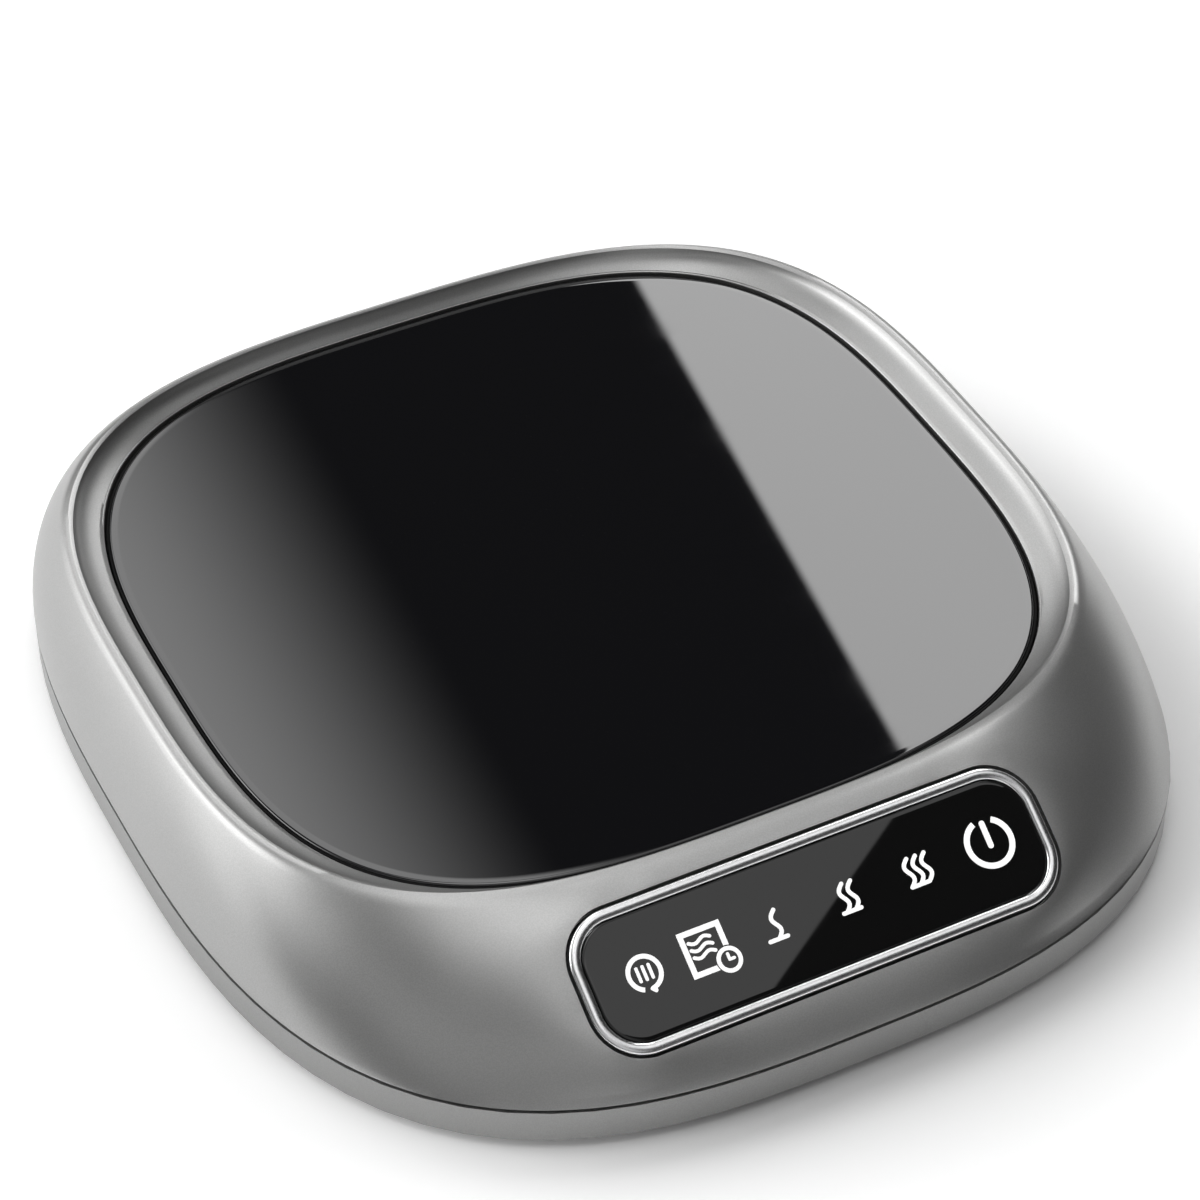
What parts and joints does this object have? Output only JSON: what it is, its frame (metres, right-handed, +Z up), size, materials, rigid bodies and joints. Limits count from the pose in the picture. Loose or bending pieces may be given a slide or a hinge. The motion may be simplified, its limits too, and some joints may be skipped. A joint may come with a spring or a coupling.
{
  "type": "electric mug warmer",
  "caption": "Low rounded-square electric mug warmer: black glass warming plate in a shallow dish on a weight switch, touch panel on the sloping front, low-voltage inlet at the back.",
  "frame": {"origin": "on the table, at the centre of the body's outline, under the rubber feet", "axes": "+Z up, +Y towards the back with the power inlet, so the touch panel faces -Y, +X to the right seen from the front"},
  "size_m": [0.1408, 0.1568, 0.0226],
  "materials": {
    "satin_grey": "satin metallic grey lacquer on moulded ABS",
    "base_grey": "darker satin grey lacquer on moulded ABS",
    "foot_rubber": "matt moulded rubber",
    "bright_steel": "zinc-plated steel",
    "black_glass": "polished black toughened glass",
    "black_silicone": "satin silicone",
    "bare_aluminium": "rolled, satin",
    "heating_alloy": "etched alloy foil",
    "mica": "pressed mica sheet",
    "white_felt": "ceramic-fibre felt",
    "carrier_black": "glass-filled heat-proof plastic",
    "spring_steel": "drawn spring wire",
    "fuse_cream": "ceramic can with tinned leads",
    "sensor_bead": "glass-sealed bead in a metal cup",
    "red_silicone": "silicone lead insulation",
    "bright_chrome": "polished chrome plating",
    "black_lens": "polished smoked black lens",
    "white_print": "white screen print",
    "adhesive_tape": "double-sided foam tape",
    "black_plastic": "fine-textured black moulding",
    "copper_alloy": "phosphor-bronze wire",
    "led_resin": "clear resin",
    "circuit_green": "green solder mask",
    "chip_black": "moulded epoxy",
    "ribbon_white": "laminated flat cable",
    "socket_cream": "natural nylon",
    "ferrite_grey": "sintered ferrite",
    "can_aluminium": "drawn aluminium can",
    "terminal_green": "moulded nylon",
    "plunger_ivory": "acetal",
    "contact_nickel": "nickel-plated brass"
  },
  "bodies": {
    "housing": {"top_housing": "satin_grey", "base_cover": "base_grey", "rubber_feet": "foot_rubber", "housing_screws": "bright_steel", "return_springs": "spring_steel", "heater_leads": "red_silicone", "panel_bezel": "bright_chrome", "panel_lens": "black_lens", "panel_icons": "white_print", "panel_adhesive": "adhesive_tape", "light_shield": "black_plastic", "touch_springs": "copper_alloy", "status_leds": "led_resin", "touch_board": "circuit_green", "touch_chip": "chip_black", "touch_board_screws": "bright_steel", "ribbon_cable": "ribbon_white", "ribbon_sockets": "socket_cream", "power_board": "circuit_green", "board_screws": "bright_steel", "control_chip": "chip_black", "heater_transistor": "chip_black", "power_inductor": "ferrite_grey", "filter_capacitors": "can_aluminium", "buzzer": "black_plastic", "heater_terminals": "terminal_green", "switch_body": "chip_black", "dc_inlet": "black_plastic", "inlet_pin": "contact_nickel", "inlet_frame": "black_plastic"},
    "plate": {"glass_plate": "black_glass", "plate_seal": "black_silicone", "heat_spreader": "bare_aluminium", "heating_foil": "heating_alloy", "mica_sheet": "mica", "insulation_pad": "white_felt", "heater_clamp": "bright_steel", "clamp_screws": "bright_steel", "plate_carrier": "carrier_black", "guide_posts": "bright_steel", "thermal_fuse": "fuse_cream", "fuse_clip": "bright_steel", "heat_sensor": "sensor_bead", "sensor_clip": "spring_steel"},
    "plunger": {"switch_plunger": "plunger_ivory"}
  },
  "joints": [
    {"name": "plate_press", "type": "slide", "parent": "housing", "child": "plate", "axis": [0, 0, -1], "range_m": [0, 0.0008], "stiffness_N_per_m": 1000, "springref_m": -0.0036, "deforming": ["return_springs", "heater_leads"]},
    {"name": "plunger_press", "type": "slide", "parent": "housing", "child": "plunger", "axis": [0, 0, -1], "range_m": [0, 0.0008], "stiffness_N_per_m": 0.05, "springref_m": -0.0042}
  ],
  "couplings": [
    {"joint": "plunger_press", "follows": "plate_press", "ratio": 1}
  ]
}
